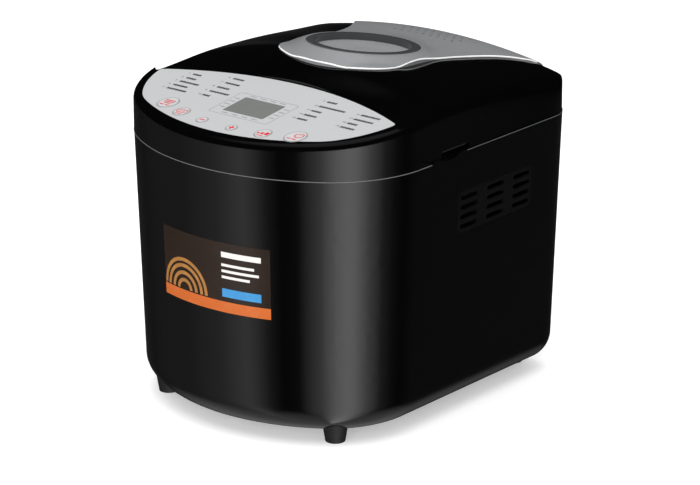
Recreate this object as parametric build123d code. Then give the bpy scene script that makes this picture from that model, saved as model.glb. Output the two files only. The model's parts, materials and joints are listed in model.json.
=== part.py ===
from build123d import *
import math
import os

# Casing, in millimetres. Front is -Y, right is +X, up is +Z.
WIDTH = 268.0
REAR_WIDTH = 265.5
FRONT_Y = -149.0
DEPTH = 312.0
WIDEST_Y = -40.0
FRONT_R = 168.0
CORNER_R = 90.0
REAR_R = 33.0
DRAFT = 2.0
BOTTOM_R = 24.0
WALL = 2.6
FOOT_H = 9.0
JOINT_Z = 221.0
LID_LINE_Z = 223.5
STEP_Y = -29.0
JOINT_GAP = 0.7
LEDGE_Z = 216.0
LEDGE_W = 2.4
DECK_T = 3.0
FIT = 0.3

# Feet
FOOT_X = 88.0
FOOT_FRONT_Y = -94.0
FOOT_REAR_Y = 138.0
FOOT_R = 8.0
FOOT_TOP_R = 12.0
FOOT_TOP_Z = 24.0

# Base plate and its screws
BASE_INSET = 42.0
BASE_T = 2.5
BASE_LIP = 9.0
SCREW_INSET = 38.0
SCREW_Y = (-40.0, 80.0)
SCREW_R = 1.8
SCREW_HEAD_R = 3.6
SCREW_HEAD_T = 1.4
BOSS_R = 4.0
POST_R = 5.0

# Side vents
VENT_Y = 54.0
VENT_Z = 171.5
VENT_W = 98.0
VENT_H = 36.0
VENT_R = 5.0
SLOT_W = 22.0
SLOT_H = 3.8
SLOT_PITCH_Y = 34.5
SLOT_PITCH_Z = 8.0

# Cord bush in the rear wall
CORD_INSET = 50.0
CORD_X = CORD_INSET - WIDTH / 2
CORD_Z = 50.0
CORD_R = 8.0
CORD_HOLE_R = 3.6

# Control housing and panel
PANEL_Z = 262.6
PANEL_BACK_Y = -33.0
PANEL_TILT = 7.3
PANEL_T = 3.0
PANEL_EDGE_R = 6.5
BACK_R = 267.0
PLATE_T = 1.2
PLATE_RIM = 1.0
PLATE_TIP = (121.5, -61.0)
PLATE_FRONT_Y = -139.0
PLATE_CORNER = (95.0, -112.5)
PLATE_SIDE = (112.0, -89.5)
PLATE_CORNER_R = 45.0
PLATE_TIP_R = 4.0
CHEEK_X = 127.5
DISPLAY_W = 41.0
DISPLAY_D = 28.5
DISPLAY_X = 1.0
DISPLAY_Y = -88.0
BUTTON_GAP = 0.35
BUTTON_RISE = 0.3
BUTTON_LIP = 1.4
STEM_R = 2.2
STEM_L = 5.0
BUTTON_TRAVEL = 0.8
BOARD_DROP = 13.5
BOARD_Y = -99.0
BOARD_T = 1.6
# Each button's place on the panel, seen from above, and its half width and half depth
BUTTONS = {
    "menu_button": (-68.0, -111.5, 7.6, 9.0),
    "crust_button": (-46.0, -120.5, 5.9, 6.8),
    "minus_button": (-20.0, -125.5, 3.8, 4.3),
    "plus_button": (11.0, -126.5, 3.8, 4.3),
    "size_button": (40.5, -123.5, 5.9, 6.8),
    "start_button": (67.5, -116.5, 7.9, 9.3),
}

# Oven, pan and drive, all on one upright axis
AXIS_Y = 44.0
OVEN_X = 84.0
OVEN_Y = 70.0
OVEN_R = 30.0
OVEN_FLOOR_Z = 60.0
OVEN_T = 1.0
OVEN_FLANGE = 7.0
PAN_X = 66.0
PAN_Y = 54.0
PAN_R = 18.0
PAN_TAPER = 2.7
PAN_FLOOR_Z = 80.0
PAN_TOP_Z = 206.0
PAN_T = 1.5
PAN_RIM = 1.8
PAN_RING_R = 40.0
PAN_BUSH_R = 9.0
SHAFT_R = 4.0
BEARING_R = 11.0
RUN_FIT = 0.06
CHASSIS_Z = 42.0
CHASSIS_T = 1.5
PULLEY_Z = 24.0
PULLEY_T = 10.0
PULLEY_R = 45.0
SMALL_PULLEY_R = 9.0
BELT_T = 2.4
BELT_W = 6.0
BELT_FIT = 0.3
MOTOR_Y = -84.0
MOTOR_R = 37.0
MOTOR_H = 58.0
MOUNT_H = 4.5
HEATER_R = 3.2
HEATER_Z = 92.0
HEATER_X = 76.0
HEATER_Y = 62.0
HEATER_BEND = 7.0
HEATER_CORNER_R = 22.0
TERMINAL_GAP = 28.0
BUSH_R = 6.0
PROBE_X = 40.0
PROBE_Z = 120.0
PROBE_R = 3.0
SNUG = 0.05
HANDLE_R = 2.0
HANDLE_L = 59.0
HANDLE_Z = 199.0
HANDLE_X = 70.5

# Lid
LID_GAP = 0.6
LID_INSET = 0.5
LID_T = 2.4
LID_REAR_R = 12.0
HINGE_R = 4.2
HINGE_Z = 228.0
HINGE_X = 72.0
PIN_R = 1.5
LUG_W = 8.0
TRIM_RISE = 1.8
TRIM_SINK = 1.0
WINDOW_Y = 49.0
WINDOW_Z = 278.7
WINDOW_TILT = 7.0
RING_R = 46.5
RING_IN_R = 39.7
RING_DEPTH = 7.0
RING_EDGE_R = 1.2
RING_PROUD = 0.5
COLLAR_RIM = 2.5
COLLAR_R = 76.0
COLLAR_DROP = 11.0
COLLAR_SHIFT = 10.0
GLASS_DEPTH = 5.3
GLASS_T = 3.0
SKIRT_R = 43.0
SKIRT_T = 1.6
SKIRT_DEPTH = 17.0
LINER_Z = 226.0
LINER_T = 1.2
POCKET_X = 80.0
POCKET_Y = 62.0
POCKET_R = 16.0
POCKET_TOP_Z = 251.0
NOTCH_Y = 0.0
NOTCH_W = 36.0
NOTCH_H = 4.5
VENT_HOLE_R = 1.3
LID_FRONT_Y = -72.0
CROWN_Z = 278.9
CROWN_FALL = 0.095
RISE_START_Y = -42.0
RISE_END_Y = 10.0
SHOULDER_Z = 259.5
SHOULDER_Y = 24.0
SHOULDER_BOW_R = 900.0
LEAN = 6.0
LEAN_Y = 90.0
SHOULDER_R_FRONT = 4.0
SHOULDER_R_BACK = 20.0

# Values that follow from the ones above
REAR_Y = FRONT_Y + DEPTH
CENTRE_Y = FRONT_Y + DEPTH / 2
DECK_Z = LEDGE_Z + DECK_T
LID_Z = LID_LINE_Z + LID_GAP
HINGE_Y = REAR_Y - LID_INSET - HINGE_R
BACK_Y = PANEL_BACK_Y - BACK_R
LID_REAR_Y = REAR_Y - LID_INSET
TILT = math.radians(PANEL_TILT)
HIGH = 320.0
WIDE = 400.0


def side_x(y):
    """Half width of the casing's straight side at depth y."""
    slope = (REAR_WIDTH - WIDTH) / 2 / (REAR_Y - WIDEST_Y)
    return WIDTH / 2 + slope * (y - WIDEST_Y)


def plan(inset):
    """The casing's outline seen from above, drawn in by inset."""
    front, back = FRONT_Y - 20, REAR_Y - inset
    xf, xb = side_x(front) - inset, side_x(back) - inset
    face = Polygon((-xf, front), (xf, front), (xb, back), (-xb, back), align=None)
    bow = Pos(0, FRONT_Y + FRONT_R) * Circle(FRONT_R - inset)
    face = face & (bow + Pos(0, WIDE / 2) * Rectangle(2 * WIDE, WIDE))
    face = fillet(face.vertices().sort_by(Axis.Y)[:2], CORNER_R - inset)
    return fillet(face.vertices().sort_by(Axis.Y)[-2:], max(REAR_R - inset, 2.0))


def column(inset, low, high):
    """A straight column on the casing's outline."""
    return extrude(Pos(0, 0, low) * plan(inset), amount=high - low)


def tub(inset):
    """The lower body's form drawn in by inset: drafted sides and a rounded bottom edge."""
    height = LID_LINE_Z - FOOT_H - inset
    solid = extrude(Pos(0, 0, LID_LINE_Z) * plan(inset), amount=height, dir=(0, 0, -1), taper=DRAFT)
    rim = solid.faces().sort_by(Axis.Z)[0].edges()
    return fillet(rim, BOTTOM_R - inset)


def slab(x0, x1, y0, y1, z0, z1):
    """A box between two corners."""
    return Pos((x0 + x1) / 2, (y0 + y1) / 2, (z0 + z1) / 2) * Box(x1 - x0, y1 - y0, z1 - z0)


def rod(x, y, radius, low, high):
    """An upright cylinder between two heights."""
    return Pos(x, y, (low + high) / 2) * Cylinder(radius, high - low)


def rod_x(y, z, radius, x0, x1):
    """A cylinder along X."""
    return Pos((x0 + x1) / 2, y, z) * Rot(0, 90, 0) * Cylinder(radius, x1 - x0)


def rod_y(x, z, radius, y0, y1):
    """A cylinder along Y."""
    return Pos(x, (y0 + y1) / 2, z) * Rot(90, 0, 0) * Cylinder(radius, y1 - y0)


def tube(x, y, outer, inner, low, high):
    """An upright ring between two heights."""
    return rod(x, y, outer, low, high) - rod(x, y, inner, low, high)


def both_sides(shape):
    """A shape on the right and its mirror image on the left."""
    return shape + mirror(shape, about=Plane.YZ)


def oblong(half_x, half_y, radius, y, low, high):
    """An upright block with rounded corners, on the centre line at depth y."""
    return extrude(Pos(0, y, low) * RectangleRounded(2 * half_x, 2 * half_y, radius), amount=high - low)


def write(name, shapes):
    """Write one node's solids, moved so that the origin is the middle of the footprint."""
    moved = [Pos(0, -CENTRE_Y, 0) * shape for shape in shapes]
    export_step(moved[0] if len(moved) == 1 else Compound(children=moved), "parts/" + name + ".step")


os.makedirs("parts", exist_ok=True)

# Lower body: a tub with a ledge for the deck, windows for the vents and a low front edge
outer = tub(0)
inner = tub(WALL)
ledge = inner & (column(0, LEDGE_Z - 6, LEDGE_Z) - column(WALL + LEDGE_W, LEDGE_Z - 8, LEDGE_Z + 1))
body = outer - inner + ledge
body -= slab(-WIDE, WIDE, -WIDE, STEP_Y, JOINT_Z, HIGH)
body -= column(BASE_INSET, 0, FOOT_H + 10)


def vent_block(grow, x0, x1):
    """A rounded block through the right wall at the vent."""
    face = RectangleRounded(VENT_W + 2 * grow, VENT_H + 2 * grow, VENT_R + grow)
    return Pos(x0, 0, 0) * extrude(Plane.YZ * Pos(VENT_Y, VENT_Z) * face, amount=x1 - x0)


body -= both_sides(vent_block(0, 60, WIDE))
scoop = rod_x(NOTCH_Y - 8, LID_LINE_Z + 30 - 3.2, 30, 100, 140)
body -= both_sides(scoop)
body -= rod_y(CORD_X, CORD_Z, CORD_R + 0.1, REAR_Y - 20, REAR_Y + 10)
screw_spots = [(side * (side_x(y) - SCREW_INSET), y) for side in (-1, 1) for y in SCREW_Y]
screw_spots += [(0, FRONT_Y + SCREW_INSET), (0, REAR_Y - SCREW_INSET)]
for x, y in screw_spots:
    body -= rod(x, y, SCREW_R + 0.4, 0, FOOT_H + 10)

# Vent inserts: a slotted plate just below the wall's face, with a flange behind it
plate = vent_block(-0.2, 60, WIDE) & (tub(0.5) - tub(WALL))
flange = vent_block(3, 60, WIDE) & (tub(WALL) - tub(WALL + 1.4))
slots = [spot * SlotOverall(SLOT_W, SLOT_H) for spot in GridLocations(SLOT_PITCH_Y, SLOT_PITCH_Z, 3, 4)]
slots = Plane.YZ * Pos(VENT_Y, VENT_Z, 60) * (Sketch() + slots)
vent = plate + flange - extrude(slots, amount=100)

# Feet, cut to sit against the rounded bottom edge
cone = Pos(0, 0, FOOT_TOP_Z / 2) * Cone(FOOT_R, FOOT_TOP_R, FOOT_TOP_Z)
feet = [
    Pos(x, y, 0) * cone - outer
    for x in (-FOOT_X, FOOT_X)
    for y in (FOOT_FRONT_Y, FOOT_REAR_Y)
]

# Base plate with a lip above the tub's floor, posts for the chassis and screw bosses
floor_z = FOOT_H + WALL
lip_z = floor_z + 2.0
base = column(BASE_INSET + FIT, FOOT_H, lip_z) + column(BASE_INSET - BASE_LIP, floor_z, lip_z)
base -= column(BASE_INSET + FIT + 6, FOOT_H + BASE_T, lip_z + 1)
post_spots = [(x, y) for x in (-42, 42) for y in (-92, 84)]
for x, y in post_spots:
    base += rod(x, y, POST_R, FOOT_H + 0.5, CHASSIS_Z)
for x, y in screw_spots:
    base += rod(x, y, BOSS_R, floor_z, floor_z + 9)
    base -= rod(x, y, SCREW_R + SNUG, 0, floor_z + 8)
slot_row = [Pos(0, 12) * spot * SlotOverall(46, 4, rotation=90) for spot in GridLocations(12, 1, 7, 1)]
base -= extrude(Sketch() + slot_row, amount=FOOT_H + 6)
screws = [
    rod(x, y, SCREW_HEAD_R, FOOT_H - SCREW_HEAD_T, FOOT_H) + rod(x, y, SCREW_R, FOOT_H - 0.5, floor_z + 8)
    for x, y in screw_spots
]

# Top deck: the frame round the oven's mouth, dropped on to the ledge
deck = column(WALL + FIT, LEDGE_Z, DECK_Z)
deck -= oblong(OVEN_X + OVEN_T + FIT, OVEN_Y + OVEN_T + FIT, OVEN_R + OVEN_T, AXIS_Y, 0, HIGH)
deck -= column(WALL + FIT + 14, 0, HIGH) & slab(-WIDE, WIDE, -WIDE, -52, 0, HIGH)

# Panel frame: x across, y up the slope, z out of the panel
slope_out = (0, -math.sin(TILT), math.cos(TILT))
panel = Plane(origin=(0, PANEL_BACK_Y, PANEL_Z), x_dir=(1, 0, 0), z_dir=slope_out)


def on_panel(x, y, drop=0.0):
    """A place on the panel given by its place in plan, sunk by drop."""
    return panel * Pos(x, (y - PANEL_BACK_Y) / math.cos(TILT), -drop)


def under_panel(drop):
    """Everything below the panel's plane sunk by drop."""
    return panel * Pos(0, 0, -drop - WIDE / 2) * Box(2 * WIDE, 2 * WIDE, WIDE)


def before_lid(radius):
    """The upright round column in front of the lid."""
    return rod(0, BACK_Y, radius, 100, HIGH)


def cheeks(x_in, gap):
    """The side fins of the housing: in front of a long S seen from the side, outside x_in."""
    curve = Spline(
        (-61.0 + gap, 264.0),
        (-54.0 + gap, 248.0),
        (-49.5 + gap, 235.0),
        (-43.0 + gap, 227.5 + gap / 2),
        (-30.5 + gap, 222.8 + gap / 2),
    )
    outline = curve + Polyline(curve @ 1, (-30.5 + gap, 200), (-90, 200), (-90, 264), curve @ 0)
    side = Pos(x_in, 0, 0) * extrude(Plane.YZ * make_face(outline.edges()), amount=40)
    return both_sides(side)


def ellipse_column(x, y, rx, ry, top, bottom):
    """An oval column square to the panel between two drops."""
    return extrude(on_panel(x, y, bottom) * Ellipse(rx, ry), amount=bottom - top)


def panel_block(x, y, width, depth, radius, top, bottom):
    """A rounded block square to the panel between two drops."""
    return extrude(on_panel(x, y, bottom) * RectangleRounded(width, depth, radius), amount=bottom - top)


def plate_face(grow):
    """The lens-shaped outline of the panel plate, on the panel."""
    (cx, cy), (sx, sy), (tx, ty) = PLATE_CORNER, PLATE_SIDE, PLATE_TIP
    cx, cy, sx, sy, tx = cx + 0.6 * grow, cy - 0.8 * grow, sx + 0.85 * grow, sy - 0.5 * grow, tx + grow
    back = BACK_Y + BACK_R - PLATE_RIM + grow
    edges = [
        ThreePointArc((-cx, cy), (0, PLATE_FRONT_Y - grow), (cx, cy)),
        ThreePointArc((cx, cy), (sx, sy), (tx, ty)),
        ThreePointArc((tx, ty), (0, back), (-tx, ty)),
        ThreePointArc((-tx, ty), (-sx, sy), (-cx, cy)),
    ]
    face = make_face(edges)
    face = fillet(face.vertices().sort_by(Axis.Y)[:2], PLATE_CORNER_R)
    face = fillet(face.vertices().sort_by(Axis.Y)[-2:], PLATE_TIP_R)
    return panel * Pos(0, -PANEL_BACK_Y, 0) * face


# Control housing: walls, back wall, side fins and a tongue that stands on the deck
joint_z = JOINT_Z + JOINT_GAP
fins = cheeks(CHEEK_X, 0)
housing = column(0, joint_z, HIGH) & under_panel(0)
housing = fillet(housing.faces().sort_by(Axis.Z)[-1].edges(), PANEL_EDGE_R)
hollow = column(WALL, 0, HIGH) & under_panel(PANEL_T) & before_lid(BACK_R - WALL)
housing = (housing & (before_lid(BACK_R) + fins)) - hollow
housing -= column(WALL, 0, HIGH) - before_lid(BACK_R)
tongue = column(WALL - 0.5, joint_z, joint_z + 2) + column(WALL + FIT, DECK_Z, joint_z + 2)
tongue = (tongue - column(WALL + 3, 0, HIGH)) & before_lid(BACK_R - 1)
housing += tongue
back_foot = (before_lid(BACK_R) - before_lid(BACK_R - WALL)) & column(WALL + FIT, DECK_Z, joint_z + 2)
housing += back_foot
boss_spots = [(-72, -80), (72, -80), (-30, -106), (30, -106)]
for x, y in boss_spots:
    housing += ellipse_column(x, y, 3, 3, PANEL_T - 0.5, BOARD_DROP)
recess = extrude(plate_face(0.15), amount=PLATE_T, both=True)
housing -= recess
housing -= panel_block(DISPLAY_X, DISPLAY_Y, DISPLAY_W - 4, DISPLAY_D - 4, 1, -1, PANEL_T + 1)
panel_plate = extrude(plate_face(0), amount=PLATE_T, both=True) & under_panel(0)
panel_plate -= panel_block(DISPLAY_X, DISPLAY_Y, DISPLAY_W + 0.3, DISPLAY_D + 0.3, 1.5, -1, PLATE_T + 1)
buttons = {}
switches = []
for name, (x, y, rx, ry) in BUTTONS.items():
    hole = ellipse_column(x, y, rx + BUTTON_GAP, ry + BUTTON_GAP, -1, PANEL_T + 1)
    housing -= hole
    panel_plate -= hole
    cap = ellipse_column(x, y, rx, ry, -BUTTON_RISE, PANEL_T + 0.1)
    cap += ellipse_column(x, y, rx + BUTTON_LIP, ry + BUTTON_LIP, PANEL_T + 0.1, PANEL_T + 1.3)
    buttons[name] = cap + ellipse_column(x, y, STEM_R, STEM_R, PANEL_T + 1.3, PANEL_T + STEM_L)
    switch_top = PANEL_T + STEM_L + BUTTON_TRAVEL + 0.3
    switches.append(
        panel_block(x, y, 6, 6, 0.5, switch_top + 0.8, BOARD_DROP)
        + ellipse_column(x, y, 1.7, 1.7, switch_top, BOARD_DROP)
    )
display_window = panel_block(DISPLAY_X, DISPLAY_Y, DISPLAY_W, DISPLAY_D, 1.3, 0.1, PLATE_T)
module_w, module_d = DISPLAY_W - 1, DISPLAY_D - 1
display_module = panel_block(DISPLAY_X, DISPLAY_Y, module_w, module_d, 1, PANEL_T + 0.2, BOARD_DROP)
control_board = panel_block(0, BOARD_Y, 162, 66, 2, BOARD_DROP, BOARD_DROP + BOARD_T)
control_board = control_board & column(WALL + 5, 0, HIGH)

# Lid: one smooth form through cross sections from front to back
STATIONS = [LID_FRONT_Y, -50.0, -33.0, -16.0, 2.0, 26.0, 70.0, 114.0]
STATIONS += [LID_REAR_Y - back for back in (LID_REAR_R, 0.55 * LID_REAR_R, 0.22 * LID_REAR_R, 0)]


def crown_z(y):
    """Height of the lid on the centre line: it leaves the panel's slope and runs into a gentle fall."""
    t = min(max((y - RISE_START_Y) / (RISE_END_Y - RISE_START_Y), 0), 1)
    blend = t * t * (3 - 2 * t)
    front = PANEL_Z + (y - PANEL_BACK_Y) * math.tan(TILT)
    return front * (1 - blend) + (CROWN_Z - CROWN_FALL * y) * blend


def rear_drop(y):
    """How far the lid's top has rounded off towards its back edge."""
    into = max(y - LID_REAR_Y + LID_REAR_R, 0) * 0.94
    return LID_REAR_R - math.sqrt(LID_REAR_R**2 - into**2)


def lid_section(y, inset):
    """One cross section of the lid, drawn in by inset."""
    low = LID_Z - 2
    drop = rear_drop(y) + inset
    foot = side_x(y) - LID_INSET - inset
    lean = LEAN - 5 * ((y - LEAN_Y) / (LEAN_Y - LID_FRONT_Y)) ** 2
    shoulder = side_x(y) - LID_INSET - lean - inset
    shoulder_z = SHOULDER_Z - (y - SHOULDER_Y) ** 2 / (2 * SHOULDER_BOW_R) - drop
    way = (y - LID_FRONT_Y) / (REAR_Y - LID_FRONT_Y)
    radius = SHOULDER_R_FRONT + (SHOULDER_R_BACK - SHOULDER_R_FRONT) * way - 0.6 * inset
    edges = [
        Line((-foot, low), (foot, low)),
        Line((foot, low), (shoulder, shoulder_z)),
        ThreePointArc((shoulder, shoulder_z), (0, crown_z(y) - drop), (-shoulder, shoulder_z)),
        Line((-shoulder, shoulder_z), (-foot, low)),
    ]
    face = make_face(edges)
    face = fillet(face.vertices().sort_by(Axis.Y)[-2:], radius)
    return Plane(origin=(0, y, 0), x_dir=(1, 0, 0), z_dir=(0, -1, 0)) * face


def lid_form(inset):
    """The lid's crowned form."""
    return loft([lid_section(y, inset) for y in STATIONS])


def trim_outline(grow, low, high):
    """A column on the keyhole outline of the lid trim: a round front lobe that flares to the back."""
    points = [(0, -12.5), (24, -9.5), (43, -2), (54, 8), (57, 22), (56, 52)]
    points += [(57.5, 78), (63.5, 102), (75.5, 128), (97.5, 158), (108, 172)]
    right = [(x + grow * min(x / 20, 1), y - grow * max(1 - x / 40, 0)) for x, y in points]
    left = [(-x, y) for x, y in right]
    edges = [
        Spline(right, tangents=((1, 0), (0.6, 0.8))),
        Line(right[-1], left[-1]),
        Spline(left, tangents=((-1, 0), (-0.6, 0.8))),
    ]
    return extrude(Pos(0, 0, low) * make_face(edges), amount=high - low)


window = Plane(
    origin=(0, WINDOW_Y, WINDOW_Z),
    x_dir=(1, 0, 0),
    z_dir=(0, math.sin(math.radians(WINDOW_TILT)), math.cos(math.radians(WINDOW_TILT))),
)


def window_disc(radius, top, bottom):
    """A disc square to the window between two depths."""
    return window * Pos(0, 0, -(top + bottom) / 2) * Cylinder(radius, bottom - top)


def window_ring(outer_r, inner_r, top, bottom):
    return window_disc(outer_r, top, bottom) - window_disc(inner_r, top, bottom)


crown = lid_form(0)
lid_outer = crown & column(LID_INSET, LID_Z, HIGH)
front_gap = BACK_R + LID_GAP
lid_outer -= before_lid(front_gap)
lid_outer -= cheeks(CHEEK_X, LID_GAP)
lid_inner = lid_form(LID_T) & column(LID_INSET + LID_T, 0, HIGH)
lid_inner -= before_lid(front_gap + LID_T)
lid_inner -= cheeks(CHEEK_X - LID_T, LID_GAP + LID_T)
lid = lid_outer - lid_inner
sunk = Pos(0, 0, -TRIM_SINK) * crown
lid += window_disc(RING_R + 4, 0, RING_DEPTH + 4) & sunk
behind_axis = slab(-WIDE, WIDE, HINGE_Y, REAR_Y + 10, 0, HINGE_Z)
barrel_x = 104.0
lid -= behind_axis
lid += rod_x(HINGE_Y, HINGE_Z, HINGE_R, -barrel_x, barrel_x)
lid_posts = [(x, y) for x in (-104, 104) for y in (-26, 116)]
under_skin = Pos(0, 0, -1) * crown
for x, y in lid_posts:
    lid += rod(x, y, 4, LINER_Z + LINER_T, HIGH) & under_skin
    lid -= rod(x, y, SCREW_R, 0, LINER_Z + 10)
lid -= window_disc(SKIRT_R + 0.2, -20, 40)
lid -= window_disc(RING_R + 0.2, -20, RING_DEPTH)
lid -= trim_outline(0.15, 230, HIGH) - sunk
vent_spots = [(7.5 * (i + 0.5 * (j % 2) - 4), 127.0 + 6.5 * j) for j in range(4) for i in range(9)]
lid -= slab(-36, 36, 123, 150, 230, HIGH)
notch_face = Plane.YZ * Pos(NOTCH_Y, LID_Z, 100) * RectangleRounded(NOTCH_W, 2 * NOTCH_H, 3)
notch = extrude(notch_face, amount=60)
lid -= both_sides(notch)
for x in (-HINGE_X, HINGE_X):
    half = LUG_W / 2 + 0.4
    lid -= slab(x - half, x + half, HINGE_Y - 7, REAR_Y + 5, 0, HINGE_Z + HINGE_R + 1.2)
    lid -= rod_x(HINGE_Y, HINGE_Z, PIN_R + RUN_FIT, x - 14, x + 14)

# Hinge brackets on the deck and their pins
brackets = []
pins = []
for x in (-HINGE_X, HINGE_X):
    half = LUG_W / 2
    lug = slab(x - half, x + half, HINGE_Y - 3.4, HINGE_Y + 1.2, DECK_Z, HINGE_Z)
    lug += rod_x(HINGE_Y, HINGE_Z, HINGE_R - 0.5, x - half, x + half)
    lug += slab(x - 10, x + 10, HINGE_Y - 20, HINGE_Y + 1.2, DECK_Z, DECK_Z + 2)
    brackets.append(lug - rod_x(HINGE_Y, HINGE_Z, PIN_R, x - 20, x + 20))
    pins.append(rod_x(HINGE_Y, HINGE_Z, PIN_R, x - 13.5, x + 13.5))

# Lid trim, window and liner
collar_low = window * Pos(0, COLLAR_SHIFT, -COLLAR_DROP) * Circle(COLLAR_R)
collar = loft([window * Pos(0, 0, -RING_PROUD) * Circle(RING_R + COLLAR_RIM), collar_low])
trim = trim_outline(0, 230, HIGH) & ((Pos(0, 0, TRIM_RISE) * crown) + collar - sunk)
trim = trim & column(LID_INSET + 3, 0, HIGH)
trim -= window_disc(RING_R + 0.2, -20, 30)
for x, y in vent_spots:
    trim -= rod(x, y, VENT_HOLE_R, 230, HIGH)
ring_top = window_disc(RING_R, 0, GLASS_DEPTH)
ring_top = fillet(ring_top.edges().filter_by(GeomType.CIRCLE).sort_by(Axis.Z)[-1:], RING_EDGE_R)
ring = ring_top - window_disc(RING_IN_R, -1, GLASS_DEPTH)
ring += window_ring(RING_R, SKIRT_R - SKIRT_T, GLASS_DEPTH - 0.2, RING_DEPTH)
ring += window_ring(SKIRT_R, SKIRT_R - SKIRT_T, GLASS_DEPTH, SKIRT_DEPTH)
glass = window_disc(SKIRT_R - SKIRT_T - 0.1, GLASS_DEPTH, GLASS_DEPTH + GLASS_T)
liner = column(LID_INSET + LID_T + 1.6, LINER_Z, LINER_Z + LINER_T)
liner -= slab(-WIDE, WIDE, HINGE_Y - 8, REAR_Y + 10, 0, HIGH)
liner -= oblong(POCKET_X, POCKET_Y, POCKET_R, AXIS_Y, 0, HIGH)
pocket_high = POCKET_TOP_Z + LINER_T
pocket = oblong(POCKET_X + LINER_T, POCKET_Y + LINER_T, POCKET_R + LINER_T, AXIS_Y, LINER_Z, pocket_high)
pocket -= oblong(POCKET_X, POCKET_Y, POCKET_R, AXIS_Y, 0, POCKET_TOP_Z)
liner += pocket
liner -= before_lid(front_gap + LID_T + 0.4)
liner -= cheeks(CHEEK_X - LID_T - 0.4, LID_GAP + LID_T + 0.4)
liner -= rod(0, WINDOW_Y, RING_IN_R, 240, HIGH)
lid_screws = []
for x, y in lid_posts:
    liner -= rod(x, y, SCREW_R + 0.3, 0, HIGH)
    head = rod(x, y, SCREW_HEAD_R, LINER_Z - SCREW_HEAD_T, LINER_Z)
    lid_screws.append(head + rod(x, y, SCREW_R, LINER_Z - 0.5, LINER_Z + 9))
inner_glass = rod(0, WINDOW_Y, RING_IN_R + 4, pocket_high, pocket_high + GLASS_T)

# Oven liner hung from the deck
oven_low = OVEN_FLOOR_Z
oven = oblong(OVEN_X + OVEN_T, OVEN_Y + OVEN_T, OVEN_R + OVEN_T, AXIS_Y, oven_low, DECK_Z + OVEN_T)
flange_x, flange_y = OVEN_X + OVEN_FLANGE, OVEN_Y + OVEN_FLANGE
oven += oblong(flange_x, flange_y, OVEN_R + OVEN_FLANGE, AXIS_Y, DECK_Z, DECK_Z + OVEN_T)
oven -= oblong(OVEN_X, OVEN_Y, OVEN_R, AXIS_Y, oven_low + OVEN_T, HIGH)
oven -= rod(0, AXIS_Y, BEARING_R + 0.1, 0, HIGH)
terminal_y = (AXIS_Y - TERMINAL_GAP / 2, AXIS_Y + TERMINAL_GAP / 2)
for y in terminal_y:
    oven -= rod_x(y, HEATER_Z, BUSH_R + SNUG, OVEN_X - 10, OVEN_X + 10)
front_wall = AXIS_Y - OVEN_Y
oven -= rod_y(PROBE_X, PROBE_Z, PROBE_R + SNUG, front_wall - 10, front_wall + 10)

# Heating element, its ceramic bushes, clips and the temperature probe
out_x = OVEN_X + 22
heat_front, heat_back = AXIS_Y - HEATER_Y, AXIS_Y + HEATER_Y
path = FilletPolyline(
    (out_x, terminal_y[0], HEATER_Z),
    (HEATER_X, terminal_y[0], HEATER_Z),
    (HEATER_X, heat_front, HEATER_Z),
    (-HEATER_X, heat_front, HEATER_Z),
    (-HEATER_X, heat_back, HEATER_Z),
    (HEATER_X, heat_back, HEATER_Z),
    (HEATER_X, terminal_y[1], HEATER_Z),
    (out_x, terminal_y[1], HEATER_Z),
    radius=[HEATER_BEND] + 4 * [HEATER_CORNER_R] + [HEATER_BEND],
)
heater = sweep(Plane(origin=path @ 0, z_dir=path % 0) * Circle(HEATER_R), path)
bushes = [
    rod_x(y, HEATER_Z, BUSH_R, OVEN_X - 0.5, OVEN_X + 9) - rod_x(y, HEATER_Z, HEATER_R + SNUG, 0, WIDE)
    for y in terminal_y
]
clip_body = [
    slab(-OVEN_X, -HEATER_X + HEATER_R + 2, AXIS_Y - 4, AXIS_Y + 4, HEATER_Z - 6, HEATER_Z + 6),
    slab(-4, 4, front_wall, heat_front + HEATER_R + 2, HEATER_Z - 6, HEATER_Z + 6),
    slab(-4, 4, heat_back - HEATER_R - 2, AXIS_Y + OVEN_Y, HEATER_Z - 6, HEATER_Z + 6),
]
bores = [
    rod_y(-HEATER_X, HEATER_Z, HEATER_R + SNUG, AXIS_Y - 20, AXIS_Y + 20),
    rod_x(heat_front, HEATER_Z, HEATER_R + SNUG, -20, 20),
    rod_x(heat_back, HEATER_Z, HEATER_R + SNUG, -20, 20),
]
clips = [block - bore for block, bore in zip(clip_body, bores)]
probe = rod_y(PROBE_X, PROBE_Z, PROBE_R, front_wall - 8, front_wall + 9)
probe_back = front_wall - OVEN_T
probe += slab(PROBE_X - 8, PROBE_X + 8, probe_back - 1.5, probe_back, PROBE_Z - 6, PROBE_Z + 6)
fuse = rod_y(OVEN_X + OVEN_T + 3, 150, 3, AXIS_Y - 14, AXIS_Y + 14)
fuse += slab(OVEN_X + OVEN_T, OVEN_X + OVEN_T + 3, AXIS_Y - 4, AXIS_Y + 4, 145, 155)

# Pan seat on the oven floor
floor_top = OVEN_FLOOR_Z + OVEN_T
pan_seat = tube(0, AXIS_Y, PAN_RING_R + 9, PAN_RING_R + 1, floor_top, floor_top + 12)
pan_seat += tube(0, AXIS_Y, PAN_RING_R + 16, PAN_RING_R + 1, floor_top, floor_top + 2)
pan_seat -= slab(-8, 8, 0, 100, floor_top + 2, HIGH)

# Bread pan: a tapered box with a rim and two ears for the handle
pan_low_x = PAN_X - (PAN_TOP_Z - PAN_FLOOR_Z) * math.tan(math.radians(PAN_TAPER))
pan_low_y = PAN_Y - (PAN_TOP_Z - PAN_FLOOR_Z) * math.tan(math.radians(PAN_TAPER))


def pan_block(shrink, low, high):
    """The pan's tapered form drawn in by shrink."""
    face = RectangleRounded(2 * (pan_low_x - shrink), 2 * (pan_low_y - shrink), PAN_R - shrink)
    return extrude(Pos(0, AXIS_Y, low) * face, amount=high - low, taper=-PAN_TAPER)


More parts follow.
